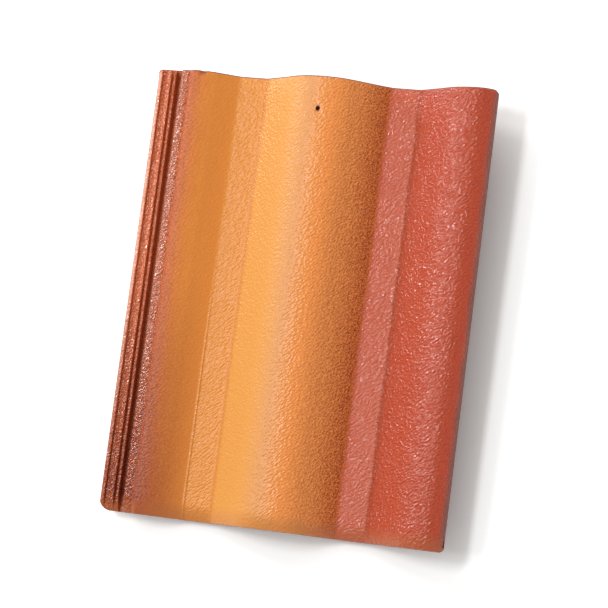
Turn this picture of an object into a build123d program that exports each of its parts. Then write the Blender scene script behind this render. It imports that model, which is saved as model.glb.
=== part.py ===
from build123d import *
import os
from math import atan, atan2, cos, degrees, sin, sqrt, tan

# Sizes in millimetres. Heights count from the top of the flat water courses.

# Whole tile
tile_length = 420
cover_width = 295
overlap = 35
wall = 11.5

# Wave: two flat courses, a half roll beside the lock, a full roll, and the cover roll
course_width = 26
course_round = 6
roll_height = 30
flank_run = 30
flank_rise = 20
half_roll_run = 40
half_roll_height = 15.5
half_flank_run = 18
half_flank_rise = 9.6
under_round = 8

# Side lock at the left, which the neighbour's cover edge laps
lip_width = 3.6
lip_height = 5.5
lip_round = 1.2
lock_rib_height = 6.4
first_rib_tip = 4.2
first_rib_base = 6
last_rib_tip = 2.2
last_rib_base = 4.2
channel_floor = 3.2
channel_width = 1
groove_floor = -0.5
groove_width = 4.5
step_lean = 1.9
land_width = 8.5
land_height = 11.5
land_rise = 1
step_round = 1.5
lock_round = 0.5
shelf_underside = -7
shelf_round = 2
shoulder_start = 2.5
shoulder_end = 10.5
shoulder_round = 4

# Cover edge at the right, with two fins that hang into the neighbour's channels
lip_run = 16.5
lip_over = 1.7
lip_play = 2.7
lip_foot = 4
lip_face = 4.5
lip_edge_round = 1
fin_play = 3
fin_tip = 2.2
fin_root = 3.8
fin_round = 0.7
fin_shoulder = 2

# Nose at the foot, edge break at the head, and corners in plan
nose_length = 16
nose_drop = 5
nose_steps = 3
head_break = 1.5
foot_lock_corner = 10
foot_cover_corner = 4.5
head_lock_corner = 4.5
head_cover_corner = 4

# Nail hole on the crest of the full roll
nail_hole = 4
nail_from_head = 31

# Hanging nibs under the courses, near the head
nib_hook_from_head = 22
nib_width = 26
nib_depth = 14
nib_tip = 7
nib_base = 14
nib_round = 2
nib_sink = 3

# Ribs across the underside, near the foot
foot_rib_depth = 5
foot_rib_width = 8
foot_rib_first = 10
foot_rib_pitch = 30
foot_rib_count = 2

# Places across the tile, from the outer edge of the side lock
tile_width = cover_width + overlap
pitch = cover_width / 2
land_end = overlap - lip_over
step_top = land_end - land_width
groove_end = step_top - step_lean
groove_start = groove_end - groove_width
last_rib = groove_start - (last_rib_base + last_rib_tip) / 4
channel_end = last_rib - last_rib_base / 2
channel_start = channel_end - channel_width
first_rib = channel_start - first_rib_base / 2
half_span = (pitch - course_width) / 2
cover_crest = tile_width - lip_run
full_crest = cover_crest - pitch
first_course = full_crest - half_span - course_width
second_course = first_course + pitch
half_crest = first_course - half_roll_run
lip_bottom = land_height + land_rise + lip_play

# Solids that only cut or trim reach this far past the tile
clear_side = 20
clear_height = 120


class Flank:
    """One side of a roll: a round arc from the crest, then a hollow arc down to the course."""

    def __init__(self, crest, span, run, height, rise, side):
        turn_angle = 2 * atan2(height - rise, span - run)
        foot_angle = 2 * atan2(rise, run) - turn_angle
        foot = crest + side * span
        self.side = side
        self.radius = (span - run) / sin(turn_angle)
        self.lean = turn_angle
        self.crest = (crest, height)
        self.turn = (crest + side * (span - run), rise)
        self.foot = (foot, 0)
        self.low_crest = (crest, height - wall)
        self.low_turn = (self.turn[0] - side * wall * sin(turn_angle), rise - wall * cos(turn_angle))
        self.low_foot = (foot - side * wall * tan(foot_angle / 2), -wall)

    def down(self, crest, turn, foot):
        round_arc = TangentArc(crest, turn, tangent=(self.side, 0))
        hollow_arc = TangentArc(turn, foot, tangent=(self.side * cos(self.lean), -sin(self.lean)))
        return [round_arc, hollow_arc]

    def top(self):
        return self.down(self.crest, self.turn, self.foot)

    def bottom(self):
        return self.down(self.low_crest, self.low_turn, self.low_foot)


def lock_points():
    """The side lock from the half roll's underside round to the land's inner end, with radii."""
    points = [(half_crest, half_roll_height - wall)]
    corners = [((step_top + shoulder_end, half_roll_height - wall), shoulder_round),
               ((step_top + shoulder_start, shelf_underside), shoulder_round),
               ((0, shelf_underside), shelf_round),
               ((0, lip_height), lip_round),
               ((lip_width, lip_height), lock_round)]
    slope = (first_rib_base - first_rib_tip) / 2
    corners += [((lip_width + slope, channel_floor), lock_round),
                ((first_rib - first_rib_base / 2, channel_floor), lock_round),
                ((first_rib - first_rib_tip / 2, lock_rib_height), lock_round),
                ((first_rib + first_rib_tip / 2, lock_rib_height), lock_round),
                ((channel_start, channel_floor), lock_round),
                ((channel_end, channel_floor), lock_round),
                ((last_rib - last_rib_tip / 2, lock_rib_height), lock_round),
                ((last_rib + last_rib_tip / 2, lock_rib_height), lock_round),
                ((groove_start, groove_floor), lock_round),
                ((groove_end, groove_floor), lock_round),
                ((step_top, land_height), step_round)]
    points += [corner for corner, radius in corners]
    points.append((land_end, land_height + land_rise))
    return points, [radius for corner, radius in corners]


def fin_places():
    """Centres of the two fins, each over a channel of the neighbour's lock."""
    channels = ((channel_start + channel_end) / 2, (groove_start + groove_end) / 2)
    return [cover_width + channel for channel in channels]


def cover_points(start):
    """The cover edge's underside, from the roll's underside to the lip's outer face."""
    roof = start[1]
    points = [start]
    for centre, floor in zip(fin_places(), (channel_floor, groove_floor)):
        tip = floor + fin_play
        points += [(centre - fin_root / 2, roof),
                   (centre - fin_tip / 2, tip),
                   (centre + fin_tip / 2, tip),
                   (centre + fin_root / 2, roof)]
    points += [(tile_width - lip_foot, lip_bottom),
               (tile_width, lip_bottom),
               (tile_width, lip_bottom + lip_face)]
    return points, [fin_round] * (len(points) - 3) + [lip_edge_round]


half_roll = Flank(half_crest, half_roll_run, half_flank_run,
                  half_roll_height, half_flank_rise, 1)
full_left = Flank(full_crest, half_span, flank_run, roll_height, flank_rise, -1)
full_right = Flank(full_crest, half_span, flank_run, roll_height, flank_rise, 1)
cover_roll = Flank(cover_crest, half_span, flank_run, roll_height, flank_rise, -1)


def cover_meet():
    """Where the cover roll's underside arc ends and the flat above the fins starts."""
    radius = cover_roll.radius - wall
    x = fin_places()[0] - fin_root / 2 - fin_shoulder
    return (x, roll_height - cover_roll.radius + sqrt(radius ** 2 - (cover_crest - x) ** 2))


def upper_line():
    """The wave's upper side from the land to the cover edge's lip."""
    land = (land_end, land_height + land_rise)
    lip = (tile_width, lip_bottom + lip_face)
    return [TangentArc(half_roll.crest, land, tangent=(-1, 0)),
            *half_roll.top(),
            Line(half_roll.foot, full_left.foot),
            *full_left.top(),
            *full_right.top(),
            Line(full_right.foot, cover_roll.foot),
            *cover_roll.top(),
            TangentArc(cover_roll.crest, lip, tangent=(1, 0))]


def lower_line():
    """The wave's underside from the half roll to the cover edge's fins."""
    meet = cover_meet()
    lean = cover_roll.lean
    cover_arc = TangentArc(cover_roll.low_turn, meet, tangent=(cos(lean), sin(lean)))
    return [*half_roll.bottom(),
            Line(half_roll.low_foot, full_left.low_foot),
            *full_left.bottom(),
            *full_right.bottom(),
            Line(full_right.low_foot, cover_roll.low_foot),
            cover_roll.bottom()[1],
            cover_arc]


def soften(face, places, radius):
    """Round the creases of a drawn face at the given places."""
    for place in places:
        crease = face.vertices().sort_by_distance(place)[0]
        face = fillet(crease, radius)
    return face


def soft_courses(face):
    """Round the four creases where the courses meet the rolls."""
    feet = (half_roll.foot, full_left.foot, full_right.foot, cover_roll.foot)
    return soften(face, feet, course_round)


def section():
    """The tile's whole cross-section, drawn with the sketch's Y as height."""
    lock, lock_radii = lock_points()
    cover, cover_radii = cover_points(cover_meet())
    edges = [*upper_line(), *lower_line(),
             FilletPolyline(*lock, radius=lock_radii),
             FilletPolyline(*cover, radius=cover_radii)]
    low_feet = (half_roll.low_foot, full_left.low_foot, full_right.low_foot, cover_roll.low_foot)
    return soften(soft_courses(make_face(Curve() + edges)), low_feet, under_round)


def air():
    """Everything above the upper side, but not down in the lock's channels."""
    lip = (tile_width, lip_bottom + lip_face)
    wall_lean = step_lean / (land_height - groove_floor)
    wall_foot = step_top - wall_lean * (land_height - lock_rib_height)
    shelf = FilletPolyline((-clear_side, lock_rib_height), (wall_foot, lock_rib_height),
                           (step_top, land_height), (land_end, land_height + land_rise),
                           radius=[0, step_round])
    frame = Polyline(lip, (tile_width + clear_side, lip[1]), (tile_width + clear_side, clear_height),
                     (-clear_side, clear_height), (-clear_side, lock_rib_height))
    return soft_courses(make_face(Curve() + [*upper_line(), shelf, frame]))


def across(y):
    """A plane across the tile at the given distance from the foot, facing the head."""
    return Plane(origin=(0, y, 0), x_dir=(1, 0, 0), z_dir=(0, -1, 0))


def nose_cuts():
    """Slices that lower the upper side step by step down to the foot."""
    cuts = []
    for step in range(nose_steps):
        start = nose_length * step / nose_steps
        end = nose_length * (step + 1) / nose_steps
        drop = nose_drop * (start / nose_length) ** 2
        fall = nose_drop * (end / nose_length) ** 2 - drop
        face = across(nose_length - start) * (Pos(0, -drop) * air())
        cuts.append(extrude(face, dir=(0, start - end, -fall), amount=sqrt((end - start) ** 2 + fall ** 2)))
    return cuts


def head_cut():
    """The slice that breaks the upper edge at the head."""
    face = across(tile_length - head_break) * air()
    return extrude(face, dir=(0, 1, -1), amount=head_break * sqrt(2))


def nib(course):
    """A hanging nib: a square hook face towards the foot and a sloped back."""
    hook = tile_length - nib_hook_from_head
    outline = Polyline((hook, -wall + nib_sink), (hook, -wall - nib_depth),
                       (hook + nib_tip, -wall - nib_depth), (hook + nib_base, -wall),
                       (hook + nib_base, -wall + nib_sink), close=True)
    side = Plane(origin=(course + course_width / 2 - nib_width / 2, 0, 0), x_dir=(0, 1, 0), z_dir=(1, 0, 0))
    block = extrude(side * make_face(outline), amount=nib_width)
    low = block.edges().filter_by(Axis.Z, reverse=True).group_by(Axis.Z)[0]
    return fillet(low.filter_by(Axis.Y), nib_round)


def foot_rib(start):
    """A rib that follows the underside's wave between the lock and the fins."""
    left = half_crest
    right = cover_meet()[0]
    span = Pos((left + right) / 2, 0) * Rectangle(right - left, clear_height)
    lowered = (Pos(0, -foot_rib_depth) * section()) & span
    return extrude(across(start + foot_rib_width) * lowered, amount=foot_rib_width)


def plan():
    """The tile's outline from above, with its four rounded corners."""
    corners = (((0, 0), foot_lock_corner), ((tile_width, 0), foot_cover_corner),
               ((0, tile_length), head_lock_corner), ((tile_width, tile_length), head_cover_corner))
    outline = Pos(tile_width / 2, tile_length / 2) * Rectangle(tile_width, tile_length)
    for corner, radius in corners:
        outline = soften(outline, [corner], radius)
    return extrude(Pos(0, 0, -clear_height) * outline, amount=2 * clear_height)


def tile():
    """The whole tile, lying in its own slope with the foot at Y 0."""
    body = extrude(across(tile_length) * section(), amount=tile_length)
    for number in range(foot_rib_count):
        body += foot_rib(foot_rib_first + number * foot_rib_pitch)
    for course in (first_course, second_course):
        body += nib(course)
    for cut in nose_cuts():
        body -= cut
    body -= head_cut()
    body &= plan()
    place = Pos(full_crest, tile_length - nail_from_head)
    return body - place * Cylinder(nail_hole / 2, clear_height)


# At rest the tile stands on its nibs and on the first foot rib
rest_angle = degrees(atan((nib_depth - foot_rib_depth)
                          / (tile_length - nib_hook_from_head - foot_rib_first)))
rested = Rot(rest_angle, 0, 0) * tile()
box = rested.bounding_box()
roof_tile = Pos(-box.center().X, -box.center().Y, -box.min.Z) * rested

print("rest angle", round(rest_angle, 4), "solids", len(roof_tile.solids()))
print("shift", [round(v, 4) for v in (-box.center().X, -box.center().Y, -box.min.Z)])
print("size", [round(v, 3) for v in roof_tile.bounding_box().size])

os.makedirs("parts", exist_ok=True)
export_step(roof_tile, "parts/roof_tile.step")
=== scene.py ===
"""Looks of a wave-profile interlocking roof tile: the dressed mesh, its sprayed coat and the stage."""

from math import acos, atan, atan2, ceil, cos, pi, radians, sin, sqrt, tan

import bmesh
import bpy
from bpy.props import FloatProperty, FloatVectorProperty, PointerProperty
from bpy.types import Operator, Panel, PropertyGroup
from mathutils import Matrix, Vector, noise
from mathutils.geometry import tessellate_polygon


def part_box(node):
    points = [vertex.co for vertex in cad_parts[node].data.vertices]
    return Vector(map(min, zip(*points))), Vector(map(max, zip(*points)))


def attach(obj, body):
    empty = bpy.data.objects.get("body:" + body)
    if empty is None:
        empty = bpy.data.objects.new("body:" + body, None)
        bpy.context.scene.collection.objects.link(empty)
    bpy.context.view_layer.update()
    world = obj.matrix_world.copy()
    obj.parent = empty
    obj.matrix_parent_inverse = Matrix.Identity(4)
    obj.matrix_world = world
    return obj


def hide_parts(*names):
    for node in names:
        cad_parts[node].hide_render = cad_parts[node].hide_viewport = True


bl_info = {
    "name": "Roof Tile",
    "version": (1, 0, 0),
    "blender": (4, 5, 0),
    "location": "3D View > Sidebar > Roof Tile",
    "description": "Builds a coated wave-profile roof tile and its stage",
    "category": "Add Mesh",
}

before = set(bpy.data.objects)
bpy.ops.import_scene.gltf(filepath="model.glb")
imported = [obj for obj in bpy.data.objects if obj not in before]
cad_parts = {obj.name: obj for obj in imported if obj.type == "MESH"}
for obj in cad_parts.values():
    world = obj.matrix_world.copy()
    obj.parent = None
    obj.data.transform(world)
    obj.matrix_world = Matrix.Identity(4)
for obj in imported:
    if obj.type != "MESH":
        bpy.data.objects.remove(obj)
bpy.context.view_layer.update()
NODE = "roof_tile"
BOX_LOW, BOX_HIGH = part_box(NODE)

MM = 0.001

# The tile's own frame: x from the side lock's outer edge, y from the foot, z from the flat courses.
LIP_WIDTH = 3.6 * MM
LIP_HEIGHT = 5.5 * MM
LIP_ROUND = 1.2 * MM
LOCK_RIB_HEIGHT = 6.4 * MM
FIRST_RIB_TIP = 4.2 * MM
FIRST_RIB_BASE = 6 * MM
LAST_RIB_TIP = 2.2 * MM
LAST_RIB_BASE = 4.2 * MM
CHANNEL_FLOOR = 3.2 * MM
CHANNEL_WIDTH = 1 * MM
GROOVE_FLOOR = -0.5 * MM
GROOVE_WIDTH = 4.5 * MM
STEP_LEAN = 1.9 * MM
LAND_WIDTH = 8.5 * MM
LAND_HEIGHT = 11.5 * MM
LAND_RISE = 1 * MM
STEP_ROUND = 1.5 * MM
LOCK_ROUND = 0.5 * MM
SHELF_UNDERSIDE = -7 * MM
SHELF_ROUND = 2 * MM
SHOULDER_START = 2.5 * MM
SHOULDER_END = 10.5 * MM
SHOULDER_ROUND = 4 * MM

LIP_RUN = 16.5 * MM
LIP_OVER = 1.7 * MM
LIP_PLAY = 2.7 * MM
LIP_FOOT = 4 * MM
LIP_FACE = 4.5 * MM
LIP_EDGE_ROUND = 1 * MM
FIN_PLAY = 3 * MM
FIN_TIP = 2.2 * MM
FIN_ROOT = 3.8 * MM
FIN_ROUND = 0.7 * MM
FIN_SHOULDER = 2 * MM

COURSE_ROUND = 6 * MM
UNDER_ROUND = 8 * MM
NOSE_LENGTH = 16 * MM
NOSE_DROP = 5 * MM
HEAD_BREAK = 1.5 * MM
EDGE_ROUND = 1 * MM
FOOT_LOCK_CORNER = 10 * MM
FOOT_COVER_CORNER = 4.5 * MM
HEAD_LOCK_CORNER = 4.5 * MM
HEAD_COVER_CORNER = 4 * MM

NIB_HOOK_FROM_HEAD = 22 * MM
NIB_WIDTH = 26 * MM
NIB_DEPTH = 14 * MM
NIB_TIP = 7 * MM
NIB_BASE = 14 * MM
NIB_ROUND = 2 * MM
NIB_SINK = 3 * MM
FOOT_RIBS = (10 * MM, 40 * MM)
FOOT_RIB_WIDTH = 8 * MM
FOOT_RIB_DEPTH = 5 * MM
FOOT_RIB_DRAFT = 0.25 * MM

CORNER_ZONE = 20 * MM
THIN_EDGE = 0.4 * MM

# How finely the mesh is drawn.
TOP_GAP = 2 * MM
UNDER_GAP = 6 * MM
ROW_GAP = 2.6 * MM
FLANK_STEPS = 14
ARC_STEPS = 10
ROUND_TURN = radians(20)
NIB_SEGMENTS = 4
HOLE_SEGMENTS = 32
MERGE_GAP = 0.005 * MM
SHARP_ANGLE = radians(38)

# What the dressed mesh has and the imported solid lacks: closed lock ends, a chip, a dimple and ripples.
LOCK_END_LENGTH = 5 * MM
CHIP_PLACE = 46.5 * MM
CHIP_WIDTH = 8 * MM
CHIP_LENGTH = 4.6 * MM
CHIP_DEPTH = 2.6 * MM
CHIP_BARE_FROM = 1 / 3
DIMPLE_RADIUS = 6 * MM
DIMPLE_DEPTH = 0.9 * MM
SWELL_SIZE = 19 * MM
SWELL_DEPTH = 0.10 * MM
RIPPLE_SIZE = 4.2 * MM
RIPPLE_DEPTH = 0.08 * MM
RIPPLE_HEAD_DEPTH = 0.10 * MM
RIPPLE_SLANT = atan2(3, 4)
RIPPLE_STRETCH = 0.4
RIPPLE_SLICE = 7 * MM

# The coat. Its sizes and places are in millimetres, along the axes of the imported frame.
DRIFT_SIZE = 40
DRIFT_REACH = 2
MIST_SIZE = 1.6
MIST_REACH = 3
FOOT_MIST_START = 20
FOOT_MIST_FULL = -190
FOOT_MIST_SPECKLE = 0.5
FLECK_SIZE = 1.2
FLECK_RANGE = (0.36, 0.64)
NOSE_TONE_START = 16
NOSE_TONE_FULL = 5
NOSE_TONE_SHARE = 0.7
PEEL_SIZE = 1.7
PEEL_STRETCH = 1.8
PEEL_SLANT = radians(40)
PEEL_DEPTH = 1.5
BEAD_HALF_WIDTH = 1.5
LEFT_BEAD_FADE = (40, -80)
RIGHT_BEAD_FADE = (120, 190)
BEAD_RELIEF = 0.4
BEAD_GLOSS = 0.3
# Grain strength and roughness where the coat is matt and where it is glossy.
MATT_COAT = (0.1, 0.6)
GLOSSY_COAT = (0.8, 0.13)
BODY_ROUGHNESS = 0.85

FLOOR_REACH = 6
FLOOR_CLEARANCE = 0.02 * MM


def linear(hex_colour):
    """An sRGB hex colour as linear red, green, blue and alpha."""
    channels = [int(hex_colour[i:i + 2], 16) / 255 for i in (1, 3, 5)]
    return [c / 12.92 if c <= 0.04045 else ((c + 0.055) / 1.055) ** 2.4 for c in channels] + [1.0]


def length(name, description, default):
    """A size in metres that shows in the panel."""
    return FloatProperty(name=name, description=description, default=default, unit="LENGTH", precision=4)


def colour(name, description, default):
    """A colour that shows in the panel, given as sRGB hex."""
    return FloatVectorProperty(name=name, description=description, default=linear(default),
                               subtype="COLOR", size=4, min=0, max=1)


class TileSizes(PropertyGroup):
    """Main sizes of the tile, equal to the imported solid's."""

    tile_length: length("Length", "Foot to head along the slope", 420 * MM)
    tile_width: length("Width", "Side lock to cover edge", BOX_HIGH.x - BOX_LOW.x)
    overlap: length("Overlap", "Width that the next tile covers", 35 * MM)
    wall: length("Wall", "Thickness of the wave", 11.5 * MM)
    course_width: length("Course width", "Flat width of a water course", 26 * MM)
    roll_height: length("Roll height", "Crest of the full roll above the courses", 30 * MM)
    flank_run: length("Flank run", "Width of the hollow part of a full roll's flank", 30 * MM)
    flank_rise: length("Flank rise", "Height of the hollow part of a full roll's flank", 20 * MM)
    half_roll_run: length("Half roll run", "Crest of the half roll to the first course", 40 * MM)
    half_roll_height: length("Half roll height", "Crest of the half roll above the courses", 15.5 * MM)
    half_flank_run: length("Half flank run", "Width of the hollow part of its flank", 18 * MM)
    half_flank_rise: length("Half flank rise", "Height of the hollow part of its flank", 9.6 * MM)
    nail_hole: length("Nail hole", "Diameter of the nail hole", 4 * MM)
    nail_from_head: length("Nail from head", "Nail hole to the head's edge", 31 * MM)


class CoatColours(PropertyGroup):
    """Colours of the sprayed coat from the side lock to the cover edge and over the nose, and of the body;
    some also hold painted light and shade.
    """

    lip: colour("Lip", "Outer lip of the side lock", "#FAB89C")
    channel: colour("Channel", "Channels of the side lock", "#C86432")
    rib: colour("Rib", "Ribs of the side lock", "#E88054")
    # Painted light: the groove's light orange lifts the shade in the deep, narrow groove.
    groove: colour("Groove", "Deep groove beside the step", "#FFA468")
    land: colour("Land", "Flat land beside the step", "#CA785A")
    half_roll_edge: colour("Half roll edge", "Red brown of the half roll beside the land", "#C65E16")
    half_roll_foot: colour("Half roll foot", "Red brown mist over the half roll, towards the foot", "#B05226")
    half_roll: colour("Half roll", "Brown orange of the half roll", "#E78E36")
    first_course: colour("First course", "Orange of the first course", "#DE8A2C")
    # Painted shade: a thin darker line in the crease where the full roll rises.
    course_crease_shade: colour("Course edge", "Thin darker line where the full roll rises", "#CC7C2E")
    bright_flank: colour("Bright flank", "Yellow orange left of the full roll", "#DA9442")
    crest: colour("Crest", "Orange of the full roll's crest", "#D88E46")
    # Painted light: the far flank's orange is made lighter to lift the shade on this flank, which faces away
    # from the lamps.
    far_flank: colour("Far flank", "Orange right of the full roll", "#FE9C4C")
    dark_flank: colour("Dark flank", "Brown at the foot of that flank", "#DE7026")
    # Partly painted sheen: the salmon of the second course is its red coat with the pink of a highlight
    # painted in.
    second_course: colour("Second course", "Salmon red of the second course", "#D0664A")
    # Painted shade: a thin dark red line in the crease where the cover roll rises.
    crease: colour("Crease", "Thin dark red line where the cover roll rises", "#A84424")
    cover_roll: colour("Cover roll", "Red of the cover roll", "#BC4B2C")
    cover_edge: colour("Cover edge", "Dark red of the cover roll's outer edge", "#D4502E")
    nose_left: colour("Nose left", "Brown over the nose, left of the first course", "#B65E2C")
    nose_middle: colour("Nose middle", "Orange over the nose, on the full roll", "#DA8A42")
    nose_right: colour("Nose right", "Brown red over the nose, right of the full roll", "#BE6238")
    speckle: colour("Speckle", "Tint that the dark speckle gives the coat", "#A27C6C")
    body: colour("Body", "Bare body at the edges and underneath", "#8C4A38")


class StageSettings(PropertyGroup):
    """Light and ground of the stage."""

    floor: colour("Floor", "Pale floor", "#F2F2F0")
    lift: colour("Lift", "Extra lightness of the floor to the camera", "#A2A2A2")
    key_power: FloatProperty(name="Key power", description="Power of the light that throws the shadow",
                             default=40, unit="POWER")
    side_power: FloatProperty(name="Side power", description="Power of the strip on the left", default=20,
                              unit="POWER")
    high_power: FloatProperty(name="High power", description="Power of the strip overhead", default=30,
                              unit="POWER")
    low_power: FloatProperty(name="Low power", description="Power of the low light near the head", default=18,
                             unit="POWER")
    world_level: FloatProperty(name="World level", description="Strength of the plain surroundings",
                               default=0.5)


def places(s):
    """Places across the tile that follow from its sizes."""
    cover_width = s.tile_width - s.overlap
    pitch = cover_width / 2
    half_span = (pitch - s.course_width) / 2
    land_end = s.overlap - LIP_OVER
    step_top = land_end - LAND_WIDTH
    groove_end = step_top - STEP_LEAN
    groove_start = groove_end - GROOVE_WIDTH
    last_rib = groove_start - (LAST_RIB_BASE + LAST_RIB_TIP) / 4
    channel_end = last_rib - LAST_RIB_BASE / 2
    channel_start = channel_end - CHANNEL_WIDTH
    cover_crest = s.tile_width - LIP_RUN
    full_crest = cover_crest - pitch
    first_course = full_crest - half_span - s.course_width
    return {
        "cover_width": cover_width, "half_span": half_span, "land_end": land_end, "step_top": step_top,
        "groove_end": groove_end, "groove_start": groove_start,
        "first_rib": channel_start - FIRST_RIB_BASE / 2, "last_rib": last_rib,
        "channel_start": channel_start, "channel_end": channel_end,
        "cover_crest": cover_crest, "full_crest": full_crest,
        "first_course": first_course, "second_course": first_course + pitch,
        "half_crest": first_course - s.half_roll_run,
        "lip_bottom": LAND_HEIGHT + LAND_RISE + LIP_PLAY,
    }


def rounded(corners):
    """A line through (across, height, radius) corners, each rounded by an arc of its radius."""
    line = []
    for i, (x, z, radius) in enumerate(corners):
        here = Vector((x, z))
        if radius == 0 or i in (0, len(corners) - 1):
            line.append(here)
            continue
        back = (Vector(corners[i - 1][:2]) - here).normalized()
        on = (Vector(corners[i + 1][:2]) - here).normalized()
        half = acos(max(-1, min(1, back.dot(on)))) / 2
        centre = here + (back + on).normalized() * radius / sin(half)
        start = here + back * radius / tan(half) - centre
        turn = pi - 2 * half
        side = 1 if start.x * on.y - start.y * on.x > 0 else -1
        steps = max(2, ceil(turn / ROUND_TURN))
        for step in range(steps + 1):
            angle = side * turn * step / steps
            line.append(centre + Vector((start.x * cos(angle) - start.y * sin(angle),
                                         start.x * sin(angle) + start.y * cos(angle))))
    return line


def spread(line, gap):
    """The same line with points added, so that none of its pieces is longer than gap."""
    full = [line[0]]
    for a, b in zip(line, line[1:]):
        parts = max(1, ceil((b - a).length / gap))
        full += [a.lerp(b, part / parts) for part in range(1, parts + 1)]
    return full


def flank(crest, side, span, run, height, rise, depth=0.0):
    """One side of a roll from its crest down to the course, depth below the upper side."""
    turn = 2 * atan2(height - rise, span - run)
    foot_turn = 2 * atan2(rise, run) - turn
    round_radius = (span - run) / sin(turn)
    hollow_radius = sqrt(run ** 2 + rise ** 2) / (2 * sin(turn - atan2(rise, run)))
    hollow_x = span - run + hollow_radius * sin(turn)
    hollow_z = rise + hollow_radius * cos(turn)
    line = []
    for step in range(FLANK_STEPS + 1):
        angle = turn * step / FLANK_STEPS
        line.append(((round_radius - depth) * sin(angle),
                     height - round_radius + (round_radius - depth) * cos(angle)))
    for step in range(1, FLANK_STEPS + 1):
        angle = turn + (foot_turn - turn) * step / FLANK_STEPS
        line.append((hollow_x - (hollow_radius + depth) * sin(angle),
                     hollow_z - (hollow_radius + depth) * cos(angle)))
    line[-1] = (line[-1][0] + (line[-1][1] + depth) / tan(foot_turn), -depth)
    return [(crest + side * x, z) for x, z in line]


def arc_down(crest, side, height, run, drop):
    """An arc that leaves the crest level and falls by drop over run."""
    radius = (run ** 2 + drop ** 2) / (2 * drop)
    turn = 2 * atan2(drop, run)
    angles = [turn * step / ARC_STEPS for step in range(ARC_STEPS + 1)]
    return [(crest + side * radius * sin(angle), height - radius * (1 - cos(angle))) for angle in angles]


def bare(points):
    """Points that need no rounding, as corners."""
    return [(x, z, 0) for x, z in points]


def crease(line, radius):
    """Corners of a line whose last point is rounded, without the samples that the arc swallows."""
    x, z = line[-1]
    kept = [p for p in line if abs(p[0] - x) > radius / 2]
    return bare(kept) + [(x, z, radius)]


def roll_sides(s, p, depth=0.0):
    """The four flanks of the wave, each from its crest down to its course."""
    full = (p["half_span"], s.flank_run, s.roll_height, s.flank_rise, depth)
    return (flank(p["half_crest"], 1, s.half_roll_run, s.half_flank_run, s.half_roll_height,
                  s.half_flank_rise, depth),
            flank(p["full_crest"], -1, *full),
            flank(p["full_crest"], 1, *full),
            flank(p["cover_crest"], -1, *full))


def upper_line(s, p):
    """The upper side from the shelf's outer face over the lock and the wave to the cover edge."""
    slope = (FIRST_RIB_BASE - FIRST_RIB_TIP) / 2
    corners = [(0, SHELF_UNDERSIDE + SHELF_ROUND, 0),
               (0, LIP_HEIGHT, LIP_ROUND),
               (LIP_WIDTH, LIP_HEIGHT, LOCK_ROUND),
               (LIP_WIDTH + slope, CHANNEL_FLOOR, LOCK_ROUND),
               (p["first_rib"] - FIRST_RIB_BASE / 2, CHANNEL_FLOOR, LOCK_ROUND),
               (p["first_rib"] - FIRST_RIB_TIP / 2, LOCK_RIB_HEIGHT, LOCK_ROUND),
               (p["first_rib"] + FIRST_RIB_TIP / 2, LOCK_RIB_HEIGHT, LOCK_ROUND),
               (p["channel_start"], CHANNEL_FLOOR, LOCK_ROUND),
               (p["channel_end"], CHANNEL_FLOOR, LOCK_ROUND),
               (p["last_rib"] - LAST_RIB_TIP / 2, LOCK_RIB_HEIGHT, LOCK_ROUND),
               (p["last_rib"] + LAST_RIB_TIP / 2, LOCK_RIB_HEIGHT, LOCK_ROUND),
               (p["groove_start"], GROOVE_FLOOR, LOCK_ROUND),
               (p["groove_end"], GROOVE_FLOOR, LOCK_ROUND),
               (p["step_top"], LAND_HEIGHT, STEP_ROUND)]
    land_top = LAND_HEIGHT + LAND_RISE
    half_back = arc_down(p["half_crest"], -1, s.half_roll_height, p["half_crest"] - p["land_end"],
                         s.half_roll_height - land_top)
    corners += bare(reversed(half_back))
    half, left, right, cover = roll_sides(s, p)
    corners += crease(half[1:], COURSE_ROUND)
    corners += list(reversed(crease(left, COURSE_ROUND)))
    corners += crease(right[1:], COURSE_ROUND)
    corners += list(reversed(crease(cover, COURSE_ROUND)))
    lip_top = p["lip_bottom"] + LIP_FACE
    corners += bare(arc_down(p["cover_crest"], 1, s.roll_height, LIP_RUN, s.roll_height - lip_top)[1:])
    return spread(rounded(corners), TOP_GAP)


def cover_meet(s, p):
    """Where the cover roll's underside arc ends and the flat above the fins starts."""
    turn = 2 * atan2(s.roll_height - s.flank_rise, p["half_span"] - s.flank_run)
    radius = (p["half_span"] - s.flank_run) / sin(turn)
    x = fins(p)[0][0] - FIN_ROOT / 2 - FIN_SHOULDER
    return x, s.roll_height - radius + sqrt((radius - s.wall) ** 2 - (p["cover_crest"] - x) ** 2)


def fins(p):
    """Centre and tip height of each fin under the cover edge."""
    channel = (p["channel_start"] + p["channel_end"]) / 2
    groove = (p["groove_start"] + p["groove_end"]) / 2
    return ((p["cover_width"] + channel, CHANNEL_FLOOR + FIN_PLAY),
            (p["cover_width"] + groove, GROOVE_FLOOR + FIN_PLAY))


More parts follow.
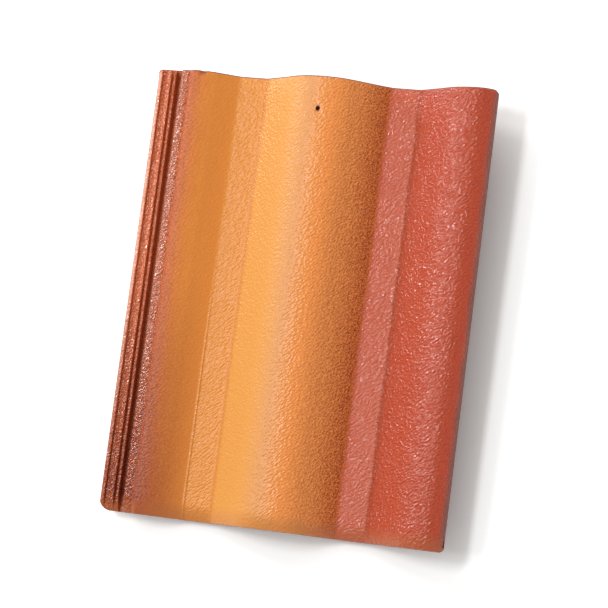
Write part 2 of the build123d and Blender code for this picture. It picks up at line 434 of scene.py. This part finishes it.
def under_lines(s, p):
    """The underside from the cover edge back to the shelf, as cover edge, wave and shelf."""
    meet = cover_meet(s, p)
    edge = [(s.tile_width, p["lip_bottom"] + LIP_FACE - THIN_EDGE, 0),
            (s.tile_width, p["lip_bottom"], LIP_EDGE_ROUND),
            (s.tile_width - LIP_FOOT, p["lip_bottom"], FIN_ROUND)]
    for centre, tip in reversed(fins(p)):
        edge += [(centre + FIN_ROOT / 2, meet[1], FIN_ROUND),
                 (centre + FIN_TIP / 2, tip, FIN_ROUND),
                 (centre - FIN_TIP / 2, tip, FIN_ROUND),
                 (centre - FIN_ROOT / 2, meet[1], FIN_ROUND)]
    edge.append((*meet, 0))
    half, left, right, cover = roll_sides(s, p, s.wall)
    cover = [point for point in cover if point[0] < meet[0]]
    wave = bare([meet]) + crease(cover, UNDER_ROUND)
    wave += list(reversed(crease(right, UNDER_ROUND)))
    wave += crease(left[1:], UNDER_ROUND)
    wave += list(reversed(crease(half, UNDER_ROUND)))
    low = s.half_roll_height - s.wall
    shelf = [(p["half_crest"], low, 0),
             (p["step_top"] + SHOULDER_END, low, SHOULDER_ROUND),
             (p["step_top"] + SHOULDER_START, SHELF_UNDERSIDE, SHOULDER_ROUND),
             (0, SHELF_UNDERSIDE, SHELF_ROUND),
             (0, SHELF_UNDERSIDE + SHELF_ROUND + THIN_EDGE, 0)]
    return [spread(rounded(line), UNDER_GAP) for line in (edge, wave, shelf)]


def corner_inset(x, width, left_radius, right_radius):
    """How far a rounded corner pulls the end of the tile in at x."""
    for radius, gap in ((left_radius, x), (right_radius, width - x)):
        if gap < radius:
            return radius - sqrt(max(0, radius ** 2 - (radius - gap) ** 2))
    return 0.0


def along(s, x, y):
    """The row's place at x, pulled in where the plan's corners are rounded."""
    foot = corner_inset(x, s.tile_width, FOOT_LOCK_CORNER, FOOT_COVER_CORNER)
    head = corner_inset(x, s.tile_width, HEAD_LOCK_CORNER, HEAD_COVER_CORNER)
    if y < CORNER_ZONE:
        return foot + y * (CORNER_ZONE - foot) / CORNER_ZONE
    if s.tile_length - y < CORNER_ZONE:
        return s.tile_length - head - (s.tile_length - y) * (CORNER_ZONE - head) / CORNER_ZONE
    return y


def end_drop(s, y):
    """How far the upper side falls at y: the rounded nose at the foot, the edge break at the head."""
    drop = 0.0
    if y < NOSE_LENGTH:
        drop += NOSE_DROP * ((NOSE_LENGTH - y) / NOSE_LENGTH) ** 2
    if y < EDGE_ROUND:
        drop += EDGE_ROUND - sqrt(EDGE_ROUND ** 2 - (EDGE_ROUND - max(y, 0)) ** 2)
    if s.tile_length - y < HEAD_BREAK:
        drop += HEAD_BREAK - (s.tile_length - y)
    return drop


def waviness(s, x, y):
    """Height of the upper side's swells and slanting ripples, at most 0; the ripples grow to the head."""
    swell = noise.noise(Vector((x, y, 0)) / SWELL_SIZE) - 1
    short = x * cos(RIPPLE_SLANT) + y * sin(RIPPLE_SLANT)
    long = (y * cos(RIPPLE_SLANT) - x * sin(RIPPLE_SLANT)) * RIPPLE_STRETCH
    ripple = noise.noise(Vector((short, long, RIPPLE_SLICE)) / RIPPLE_SIZE) - 1
    return swell * SWELL_DEPTH + ripple * (RIPPLE_DEPTH + RIPPLE_HEAD_DEPTH * y / s.tile_length)


def chipped(s, x, y):
    """Share of the chip in the head's upper edge that is broken away at a place."""
    beside = 1 - abs(x - CHIP_PLACE) / (CHIP_WIDTH / 2)
    back = 1 - (s.tile_length - y) / CHIP_LENGTH
    return max(0, min(beside, back) if y < s.tile_length else beside)


def dimple(s, p, x, y):
    """Depth of the shallow dimple that the coat leaves around the nail hole."""
    away = sqrt((x - p["full_crest"]) ** 2 + (y - s.tile_length + s.nail_from_head) ** 2)
    return DIMPLE_DEPTH * max(0, 1 - away / DIMPLE_RADIUS) ** 2


def rows(s):
    """Places of the rows along the tile, close together at the foot, its ribs and the head."""
    marks = {0, 0.3 * EDGE_ROUND, 0.7 * EDGE_ROUND, EDGE_ROUND, NOSE_LENGTH,
             s.tile_length - HEAD_BREAK, s.tile_length - HEAD_BREAK / 2, s.tile_length}
    for start in FOOT_RIBS:
        for edge in (start, start + FOOT_RIB_WIDTH):
            marks |= {edge - FOOT_RIB_DRAFT, edge + FOOT_RIB_DRAFT}
    line = [Vector((y, 0)) for y in sorted(marks)]
    return [point.x for point in spread(line, ROW_GAP)]


def rib_depth(y):
    """Depth of the ribs across the underside at y."""
    for start in FOOT_RIBS:
        if start < y < start + FOOT_RIB_WIDTH:
            return FOOT_RIB_DEPTH
    return 0.0


def upper_height(s, p, x, y, z):
    """Height of an upper point at y, after the ends and the ripples.

    The lock has no ripples, and its channels close towards the head.
    """
    drop = end_drop(s, y)
    if x < p["step_top"] and z <= LOCK_RIB_HEIGHT:
        closed = sqrt(max(0, 1 - (s.tile_length - y) / LOCK_END_LENGTH))
        return min(z + (LOCK_RIB_HEIGHT - z) * closed, LOCK_RIB_HEIGHT - drop)
    height = z - drop + waviness(s, x, y) - dimple(s, p, x, y) - CHIP_DEPTH * chipped(s, x, y)
    if x > p["cover_crest"]:
        height = max(height, p["lip_bottom"] + THIN_EDGE)
    return height


def tile_mesh(s, p):
    """The tile as one closed mesh: its section drawn from the foot to the head, with both ends filled.

    The attribute "coat" is 1 on the coated upper side and 0 at the ends, in the chip and underneath.
    """
    top = upper_line(s, p)
    edge, wave, shelf = under_lines(s, p)
    profile = [(point, "top") for point in top]
    profile += [(point, "plain") for point in edge]
    profile += [(point, "ribbed") for point in wave]
    profile += [(point, "plain") for point in shelf]
    mesh = bmesh.new()
    coat = mesh.verts.layers.float.new("coat")
    loops = []
    for y in rows(s):
        loop = []
        for (x, z), kind in profile:
            place = along(s, x, y)
            if kind == "top":
                z = upper_height(s, p, x, place, z)
            elif kind == "ribbed":
                z -= rib_depth(y)
            vert = mesh.verts.new((x, place, z))
            if kind == "top":
                end = y in (0, s.tile_length) or abs(s.tile_length - HEAD_BREAK / 2 - y) < HEAD_BREAK / 3
                vert[coat] = 0 if end else 1 - min(1, chipped(s, x, y) / CHIP_BARE_FROM)
            loop.append(vert)
        loops.append(loop)
    count = len(profile)
    for a, b in zip(loops, loops[1:]):
        for i in range(count):
            j = (i + 1) % count
            mesh.faces.new((a[i], a[j], b[j], b[i]))
    for loop in (loops[0], loops[-1]):
        flat = [Vector((v.co.x, v.co.z, 0)) for v in loop]
        for triangle in tessellate_polygon([flat]):
            mesh.faces.new([loop[i] for i in triangle])
    bmesh.ops.remove_doubles(mesh, verts=mesh.verts, dist=MERGE_GAP)
    bmesh.ops.recalc_face_normals(mesh, faces=mesh.faces)
    return mesh


def nib_mesh(s, course):
    """A hanging nib: a square hook face towards the foot, a sloped back and a tip rounded at its sides."""
    hook = s.tile_length - NIB_HOOK_FROM_HEAD
    low = -s.wall - NIB_DEPTH
    middle = course + s.course_width / 2
    mesh = bmesh.new()
    rim = [(hook, -s.wall + NIB_SINK), (hook, low), (hook + NIB_TIP, low), (hook + NIB_BASE, -s.wall),
           (hook + NIB_BASE, -s.wall + NIB_SINK)]
    sides = []
    for x in (middle - NIB_WIDTH / 2, middle + NIB_WIDTH / 2):
        sides.append([mesh.verts.new((x, y, z)) for y, z in rim])
        mesh.faces.new(sides[-1])
    for i in range(len(rim)):
        j = (i + 1) % len(rim)
        mesh.faces.new((sides[0][i], sides[0][j], sides[1][j], sides[1][i]))
    ends = [e for e in mesh.edges if all(abs(v.co.z - low) < MERGE_GAP for v in e.verts)
            and abs(e.verts[0].co.x - e.verts[1].co.x) < MERGE_GAP]
    bmesh.ops.bevel(mesh, geom=ends, offset=NIB_ROUND, segments=NIB_SEGMENTS, profile=0.5, affect="EDGES")
    bmesh.ops.recalc_face_normals(mesh, faces=mesh.faces)
    return mesh


def hole_mesh(s, p):
    """The cutter of the nail hole: a round shaft."""
    mesh = bmesh.new()
    bmesh.ops.create_cone(mesh, cap_ends=True, segments=HOLE_SEGMENTS, radius1=s.nail_hole / 2,
                          radius2=s.nail_hole / 2, depth=4 * s.wall)
    place = (p["full_crest"], s.tile_length - s.nail_from_head, s.roll_height - s.wall / 2)
    bmesh.ops.translate(mesh, verts=mesh.verts, vec=place)
    return mesh


def as_object(mesh, name):
    """A scene object made from a bmesh, which is freed."""
    data = bpy.data.meshes.new(name)
    mesh.to_mesh(data)
    mesh.free()
    thing = bpy.data.objects.new(name, data)
    bpy.context.scene.collection.objects.link(thing)
    return thing


def combine(body, tool, operation):
    """Adds or cuts another solid and removes it."""
    change = body.modifiers.new(operation.title(), "BOOLEAN")
    change.operation = operation
    change.object = tool
    change.solver = "EXACT"
    bpy.context.view_layer.update()
    done = bpy.data.meshes.new_from_object(body.evaluated_get(bpy.context.evaluated_depsgraph_get()))
    body.modifiers.clear()
    old = body.data
    body.data = done
    bpy.data.meshes.remove(old)
    bpy.data.objects.remove(tool)


def rest_matrix(s):
    """From the tile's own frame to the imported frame, where it lies on its nibs and its first rib."""
    hook = s.tile_length - NIB_HOOK_FROM_HEAD
    angle = atan((NIB_DEPTH - FOOT_RIB_DEPTH) / (hook - FOOT_RIBS[0]))
    low = s.wall + NIB_DEPTH
    foot_top = s.roll_height - NOSE_DROP
    shift = Vector((BOX_LOW.x, BOX_LOW.y + foot_top * sin(angle), low * cos(angle) - hook * sin(angle)))
    return Matrix.Translation(shift) @ Matrix.Rotation(angle, 4, "X")


def add(tree, kind, settings=None, links=None):
    """Adds a node with its settings, socket values and incoming links. A number is a socket's place.

    A Map Range node's sockets 1 and 2 are the range that it reads, and 3 and 4 what that turns to.
    """
    node = tree.nodes.new(kind)
    for key, value in (settings or {}).items():
        if isinstance(key, str) and hasattr(node, key):
            setattr(node, key, value)
        else:
            node.inputs[key].default_value = value
    for key, source in (links or {}).items():
        tree.links.new(source, node.inputs[key])
    return node


def new_tree(name):
    """An empty node material and its tree."""
    material = bpy.data.materials.new(name)
    material.use_nodes = True
    material.node_tree.nodes.clear()
    return material, material.node_tree


def set_bands(node, width, stops):
    """Gives a colour ramp the colours that follow one another across the tile, as (place, colour) stops."""
    elements = node.color_ramp.elements
    while len(elements) < len(stops):
        elements.new(0.5)
    for element, (spot, value) in zip(elements, stops):
        element.position = spot / width
        element.color = value


def tinted(colour_value, grain):
    """A colour that carries the local strength of the grain in its alpha."""
    return (*colour_value[:3], grain)


def mm_across(s, place):
    """A place across the tile as the coat's nodes count it: in millimetres from the tile's middle."""
    return (place - s.tile_width / 2) / MM


def overspray(tree, mm, x):
    """Moves places across the tile, so that band borders drift and break up into a fine mist."""
    for size, reach, detail, rough in ((DRIFT_SIZE, DRIFT_REACH, 1, 0.5), (MIST_SIZE, MIST_REACH, 2, 0.6)):
        cloud = add(tree, "ShaderNodeTexNoise", {"Scale": 1 / size, "Detail": detail, "Roughness": rough},
                    {"Vector": mm})
        shift = add(tree, "ShaderNodeMath", {"operation": "MULTIPLY_ADD", 1: 2 * reach, 2: -reach},
                    {0: cloud.outputs[0]})
        x = add(tree, "ShaderNodeMath", {"operation": "ADD"}, {0: x, 1: shift.outputs[0]}).outputs[0]
    return x


def coat_bands(tree, s, p, c, x, soft, sharp):
    """Colour of the bands and strength of their grain: soft-edged on the wave, sharp on the lock."""
    first, second = p["first_course"], p["second_course"]
    first_end, second_end = first + s.course_width, second + s.course_width
    full, cover = p["full_crest"], p["cover_crest"]
    wave = add(tree, "ShaderNodeValToRGB", links={0: soft})
    set_bands(wave, s.tile_width, [
        (p["land_end"], tinted(c.half_roll_edge, 0.5)),
        (p["half_crest"] - 4 * MM, tinted(c.half_roll_edge, 0.3)),
        (p["half_crest"] + 18 * MM, tinted(c.half_roll, 0.2)),
        (first - 2 * MM, tinted(c.half_roll, 0.2)),
        (first + 1 * MM, tinted(c.first_course, 0.45)),
        (first_end - 1 * MM, tinted(c.first_course, 0.45)),
        # Painted shade in the crease where the full roll rises.
        (first_end + 0.5 * MM, tinted(c.course_crease_shade, 0.4)),
        (first_end + 4 * MM, tinted(c.bright_flank, 0.5)),
        (full - 30 * MM, tinted(c.bright_flank, 0.35)),
        (full - 8 * MM, tinted(c.crest, 0.45)),
        # Painted light: a lighter orange that lifts the shade on the right-facing flank.
        (full + 14 * MM, tinted(c.far_flank, 0.65)),
        (full + 36 * MM, tinted(c.far_flank, 0.75)),
        (second - 2 * MM, tinted(c.dark_flank, 0.8)),
        # Partly painted sheen: the second course's salmon holds the pink of a highlight.
        (second + 1 * MM, tinted(c.second_course, 0.85)),
        (second_end - 1 * MM, tinted(c.second_course, 0.85)),
        # Painted shade in the crease where the cover roll rises.
        (second_end + 1 * MM, tinted(c.crease, 0.9)),
        (second_end + 6 * MM, tinted(c.cover_roll, 1)),
        (cover + 2 * MM, tinted(c.cover_roll, 0.9)),
        (s.tile_width - 4 * MM, tinted(c.cover_edge, 0.7)),
        (s.tile_width - 0.5 * MM, tinted(c.body, 0.4))])
    lock = add(tree, "ShaderNodeValToRGB", links={0: sharp})
    set_bands(lock, s.tile_width, [
        (0, tinted(c.body, 0.5)),
        (0.5 * MM, tinted(c.lip, 0.7)),
        (2.4 * MM, tinted(c.lip, 0.8)),
        (LIP_WIDTH, tinted(c.rib, 1)),
        (LIP_WIDTH + 1 * MM, tinted(c.channel, 0.9)),
        (p["first_rib"] - FIRST_RIB_BASE / 2, tinted(c.channel, 0.9)),
        (p["first_rib"] - FIRST_RIB_TIP / 2, tinted(c.rib, 1)),
        (p["first_rib"] + FIRST_RIB_TIP / 2, tinted(c.rib, 1)),
        (p["channel_end"], tinted(c.channel, 0.7)),
        (p["last_rib"], tinted(c.half_roll_edge, 0.6)),
        (p["groove_start"], tinted(c.channel, 0.5)),
        # Painted light: a light orange that lifts the shade in the deep groove.
        (p["groove_end"] - 1 * MM, tinted(c.groove, 0.5)),
        (p["groove_end"] + 0.3 * MM, tinted(c.land, 1)),
        (p["land_end"] - 4 * MM, tinted(c.land, 1)),
        (p["land_end"], tinted(c.half_roll_edge, 0.8))])
    land_end = p["land_end"]
    on_wave = add(tree, "ShaderNodeMapRange",
                  {1: mm_across(s, land_end - 2 * MM), 2: mm_across(s, land_end)}, {0: x})
    paint = add(tree, "ShaderNodeMix", {"data_type": "RGBA"},
                {0: on_wave.outputs[0], 6: lock.outputs[0], 7: wave.outputs[0]})
    grain = add(tree, "ShaderNodeMix", links={0: on_wave.outputs[0], 2: lock.outputs[1], 3: wave.outputs[1]})
    return paint.outputs[2], grain.outputs[0]


def foot_mist(tree, s, p, misted, y):
    """Share of the red brown mist that thickens over the half roll towards the foot."""
    down = add(tree, "ShaderNodeMapRange", {1: FOOT_MIST_START, 2: FOOT_MIST_FULL}, {0: y})
    beside = add(tree, "ShaderNodeMapRange",
                 {1: mm_across(s, p["first_course"] + 4 * MM), 2: mm_across(s, p["half_crest"])}, {0: misted})
    return add(tree, "ShaderNodeMath", {"operation": "MULTIPLY"},
               {0: down.outputs[0], 1: beside.outputs[0]}).outputs[0]


def dark_speckle(tree, s, p, mm, soft, mist):
    """Share of the dark speckle, which is dense beside the second course, on the land and in the mist."""
    first, second, full = p["first_course"], p["second_course"], p["full_crest"]
    amount = add(tree, "ShaderNodeValToRGB", links={0: soft})
    set_bands(amount, s.tile_width, [
        (spot, (value, value, value, 1)) for spot, value in (
            (0, 0.4), (p["first_rib"], 0.75), (p["land_end"], 0.8), (p["half_crest"] + 8 * MM, 0.22),
            (first, 0.08), (full - 20 * MM, 0), (full + 8 * MM, 0.25), (full + 34 * MM, 0.55),
            (second - 3 * MM, 1), (second + 1 * MM, 0.3), (s.tile_width, 0.35))])
    amounts = add(tree, "ShaderNodeMath", {"operation": "MULTIPLY_ADD", 1: FOOT_MIST_SPECKLE},
                  {0: mist, 2: amount.outputs[0]})
    fleck = add(tree, "ShaderNodeTexNoise", {"Scale": 1 / FLECK_SIZE, "Detail": 1.0, "Roughness": 0.6},
                {"Vector": mm})
    spots = add(tree, "ShaderNodeMapRange", {1: FLECK_RANGE[0], 2: FLECK_RANGE[1]}, {0: fleck.outputs[0]})
    return add(tree, "ShaderNodeMath", {"operation": "MULTIPLY"},
               {0: amounts.outputs[0], 1: spots.outputs[0]}).outputs[0]


def nose_tones(tree, s, p, c, soft, y):
    """Colour and share of the tones over the nose, where the bands run into one another."""
    tones = add(tree, "ShaderNodeValToRGB", links={0: soft})
    set_bands(tones, s.tile_width, [
        (p["half_crest"], c.nose_left), (p["first_course"] + s.course_width + 8 * MM, c.nose_middle),
        (p["full_crest"] + 20 * MM, c.nose_middle), (p["second_course"], c.nose_right)])
    foot = -s.tile_length / MM / 2
    share = add(tree, "ShaderNodeMapRange",
                {1: foot + NOSE_TONE_START, 2: foot + NOSE_TONE_FULL, 4: NOSE_TONE_SHARE}, {0: y})
    return tones.outputs[0], share.outputs[0]


def orange_peel(tree, mm, grain):
    """Relief of the coat's orange peel: slanting strokes about three millimetres long, half as wide.

    The real strokes are finer, too fine to catch the light in the render.
    """
    slant = add(tree, "ShaderNodeMapping",
                {"vector_type": "TEXTURE", "Rotation": (0, 0, PEEL_SLANT), "Scale": (PEEL_STRETCH, 1, 1)},
                {"Vector": mm})
    peel = add(tree, "ShaderNodeTexNoise", {"Scale": 1 / PEEL_SIZE, "Detail": 0.5, "Roughness": 0.4},
               {"Vector": slant.outputs[0]})
    return add(tree, "ShaderNodeMath", {"operation": "MULTIPLY"}, {0: peel.outputs[0], 1: grain}).outputs[0]


def crease_beads(tree, s, p, x, y):
    """Shares of the thin smooth beads on the first course's creases.

    The left one fades in towards the foot, and the right one towards the head.
    """
    left = p["first_course"] + 0.5 * MM
    beads = []
    for centre, (start, full) in ((left, LEFT_BEAD_FADE), (left + s.course_width, RIGHT_BEAD_FADE)):
        side = add(tree, "ShaderNodeMath", {"operation": "SUBTRACT", 1: mm_across(s, centre)}, {0: x})
        away = add(tree, "ShaderNodeMath", {"operation": "ABSOLUTE"}, {0: side.outputs[0]})
        near = add(tree, "ShaderNodeMapRange", {1: BEAD_HALF_WIDTH, 2: 0}, {0: away.outputs[0]})
        fade = add(tree, "ShaderNodeMapRange", {1: start, 2: full}, {0: y})
        beads.append(add(tree, "ShaderNodeMath", {"operation": "MULTIPLY"},
                         {0: near.outputs[0], 1: fade.outputs[0]}).outputs[0])
    return beads


def sprayed_coat(s, p, c):
    """Satin polymer coat, sprayed in bands on a pressed clay body.

    It gives soft-edged colours that run into one another in a fine mist, dark speckle, and glints on
    its orange peel. The bare body is matt and shows at the ends, in the chip and underneath.
    """
    material, tree = new_tree("sprayed_satin_coat")
    place = add(tree, "ShaderNodeTexCoord").outputs["Object"]
    mm = add(tree, "ShaderNodeVectorMath", {"operation": "SCALE", "Scale": 1 / MM}, {0: place}).outputs[0]
    split = add(tree, "ShaderNodeSeparateXYZ", links={0: mm})
    x, y = split.outputs["X"], split.outputs["Y"]
    misted = overspray(tree, mm, x)
    edges = {1: mm_across(s, 0), 2: mm_across(s, s.tile_width)}
    soft = add(tree, "ShaderNodeMapRange", edges, {0: misted}).outputs[0]
    sharp = add(tree, "ShaderNodeMapRange", edges, {0: x}).outputs[0]

    paint, grain = coat_bands(tree, s, p, c, x, soft, sharp)
    mist = foot_mist(tree, s, p, misted, y)
    footed = add(tree, "ShaderNodeMix", {"data_type": "RGBA", 7: c.half_roll_foot}, {0: mist, 6: paint})
    speckled = add(tree, "ShaderNodeMix", {"data_type": "RGBA", "blend_type": "MULTIPLY", 7: c.speckle},
                   {0: dark_speckle(tree, s, p, mm, soft, mist), 6: footed.outputs[2]})
    tones, on_nose = nose_tones(tree, s, p, c, soft, y)
    nosed = add(tree, "ShaderNodeMix", {"data_type": "RGBA"}, {0: on_nose, 6: speckled.outputs[2], 7: tones})
    coat = add(tree, "ShaderNodeAttribute", {"attribute_name": "coat"}).outputs["Fac"]
    coated = add(tree, "ShaderNodeMix", {"data_type": "RGBA", 6: c.body}, {0: coat, 7: nosed.outputs[2]})

    # The coat is glossiest where its grain is strongest and on the beads.
    relief = orange_peel(tree, mm, grain)
    satin = add(tree, "ShaderNodeMapRange",
                {1: MATT_COAT[0], 2: GLOSSY_COAT[0], 3: MATT_COAT[1], 4: GLOSSY_COAT[1]},
                {0: grain}).outputs[0]
    for bead in crease_beads(tree, s, p, x, y):
        relief = add(tree, "ShaderNodeMath", {"operation": "MULTIPLY_ADD", 1: BEAD_RELIEF},
                     {0: bead, 2: relief}).outputs[0]
        satin = add(tree, "ShaderNodeMath", {"operation": "MULTIPLY_ADD", 1: -BEAD_GLOSS},
                    {0: bead, 2: satin}).outputs[0]
    bump = add(tree, "ShaderNodeBump", {"Strength": 1.0, "Distance": PEEL_DEPTH * MM}, {"Height": relief})
    rough = add(tree, "ShaderNodeMix", {2: BODY_ROUGHNESS}, {0: coat, 3: satin})
    shader = add(tree, "ShaderNodeBsdfPrincipled", {"IOR": 1.5},
                 {"Base Color": coated.outputs[2], "Roughness": rough.outputs[0],
                  "Normal": bump.outputs[0]})
    add(tree, "ShaderNodeOutputMaterial", links={0: shader.outputs[0]})
    return material


def floor_paper(c):
    """Matt white studio paper: pale and even, seen a little lighter by the camera, with the shadow kept."""
    material, tree = new_tree("matt_studio_paper")
    paper = add(tree, "ShaderNodeBsdfDiffuse", {"Color": c.floor})
    lift = add(tree, "ShaderNodeBsdfDiffuse", {"Color": c.lift})
    path = add(tree, "ShaderNodeLightPath")
    seen = path.outputs["Is Camera Ray"]
    for ray in ("Is Glossy Ray", "Is Transmission Ray"):
        seen = add(tree, "ShaderNodeMath", {"operation": "MAXIMUM"},
                   {0: seen, 1: path.outputs[ray]}).outputs[0]
    both = add(tree, "ShaderNodeAddShader", links={0: paper.outputs[0], 1: lift.outputs[0]})
    mix = add(tree, "ShaderNodeMixShader", links={0: seen, 1: paper.outputs[0], 2: both.outputs[0]})
    add(tree, "ShaderNodeOutputMaterial", links={0: mix.outputs[0]})
    return material


class TILE_OT_body(Operator):
    """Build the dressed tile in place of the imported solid."""

    bl_idname = "roof_tile.body"
    bl_label = "Tile body"

    def execute(self, context):
        s = context.scene.roof_tile_sizes
        p = places(s)
        piece = as_object(tile_mesh(s, p), "tile_body")
        for course in (p["first_course"], p["second_course"]):
            combine(piece, as_object(nib_mesh(s, course), "nib"), "UNION")
        combine(piece, as_object(hole_mesh(s, p), "hole"), "DIFFERENCE")
        piece.data.transform(rest_matrix(s))
        piece.data.shade_smooth()
        piece.data.set_sharp_from_angle(angle=SHARP_ANGLE)
        piece.data.materials.append(sprayed_coat(s, p, context.scene.roof_tile_colours))
        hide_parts(NODE)
        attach(piece, "root")
        return {"FINISHED"}


# Camera of the photograph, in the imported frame.
CAMERA_PLACE = Vector((534.3, -269.8, 1989.7)) * MM
CAMERA_VIEW = Vector((-0.25775, 0.13168, -0.9572))
CAMERA_UP = Vector((-0.09675, 0.98217, 0.16117))
FOCAL_PIXELS = 2228.8
IMAGE_PIXELS = 608
SENSOR = 36


def area_light(name, place, target, size, power, glossy=True):
    """A soft lamp aimed at a place, as wide and as long (along the tile) as size says."""
    light = bpy.data.lights.new(name, "AREA")
    light.shape = "RECTANGLE"
    light.size, light.size_y = size
    light.energy = power
    lamp = bpy.data.objects.new(name, light)
    lamp.visible_glossy = glossy
    place = Vector(place)
    back = (place - Vector(target)).normalized()
    length_axis = (Vector((0, 1, 0)) - back * back.y).normalized()
    turn = Matrix((length_axis.cross(back), length_axis, back)).transposed()
    lamp.matrix_world = Matrix.Translation(place) @ turn.to_4x4()
    bpy.context.scene.collection.objects.link(lamp)


class TILE_OT_stage(Operator):
    """Build the floor, the lights, the surroundings and the camera."""

    bl_idname = "roof_tile.stage"
    bl_label = "Stage"

    def execute(self, context):
        c = context.scene.roof_tile_stage
        mesh = bmesh.new()
        bmesh.ops.create_grid(mesh, x_segments=2, y_segments=2, size=FLOOR_REACH)
        floor = as_object(mesh, "floor")
        floor.location.z = -FLOOR_CLEARANCE
        floor.data.materials.append(floor_paper(c))
        area_light("key_softbox", (-1.3, 2.4, 2.0), (0, 0, 0), (2.3, 2.3), c.key_power, glossy=False)
        area_light("side_strip", (-2.1, -0.2, 2.55), (0, 0, 0), (0.45, 1.1), c.side_power)
        area_light("high_strip", (-1.3, 0.6, 3.1), (0, 0, 0), (0.5, 0.9), c.high_power)
        area_light("low_strip", (-2.2, 1.1, 0.7), (0, 0.1, 0), (0.4, 0.4), c.low_power)
        world = bpy.data.worlds.new("plain_surroundings")
        world.use_nodes = True
        background = world.node_tree.nodes["Background"]
        background.inputs["Color"].default_value = (1, 1, 1, 1)
        background.inputs["Strength"].default_value = c.world_level
        context.scene.world = world
        camera = bpy.data.objects.new("camera", bpy.data.cameras.new("camera"))
        context.scene.collection.objects.link(camera)
        camera.data.sensor_width = SENSOR
        camera.data.lens = FOCAL_PIXELS * SENSOR / IMAGE_PIXELS
        back = -CAMERA_VIEW.normalized()
        right = CAMERA_UP.cross(back).normalized()
        turn = Matrix((right, back.cross(right), back)).transposed()
        camera.matrix_world = Matrix.Translation(CAMERA_PLACE) @ turn.to_4x4()
        context.scene.camera = camera
        context.scene.view_settings.view_transform = "Standard"
        return {"FINISHED"}


class TILE_PT_panel(Panel):
    """Sizes, colours and builders of the roof tile."""

    bl_idname = "TILE_PT_panel"
    bl_label = "Roof Tile"
    bl_space_type = "VIEW_3D"
    bl_region_type = "UI"
    bl_category = "Roof Tile"

    def draw(self, context):
        for group in (context.scene.roof_tile_sizes, context.scene.roof_tile_colours,
                      context.scene.roof_tile_stage):
            box = self.layout.box()
            for name in group.__annotations__:
                box.prop(group, name)
        for operator in OPERATORS:
            self.layout.operator(operator.bl_idname)


OPERATORS = (TILE_OT_body, TILE_OT_stage)
GROUPS = {"roof_tile_sizes": TileSizes, "roof_tile_colours": CoatColours, "roof_tile_stage": StageSettings}


def register():
    for kind in (*GROUPS.values(), *OPERATORS, TILE_PT_panel):
        bpy.utils.register_class(kind)
    for name, kind in GROUPS.items():
        setattr(bpy.types.Scene, name, PointerProperty(type=kind))


def unregister():
    for name in GROUPS:
        delattr(bpy.types.Scene, name)
    for kind in reversed((*GROUPS.values(), *OPERATORS, TILE_PT_panel)):
        bpy.utils.unregister_class(kind)


def main():
    register()
    bpy.ops.roof_tile.body()
    bpy.ops.roof_tile.stage()


if __name__ == "__main__":
    main()
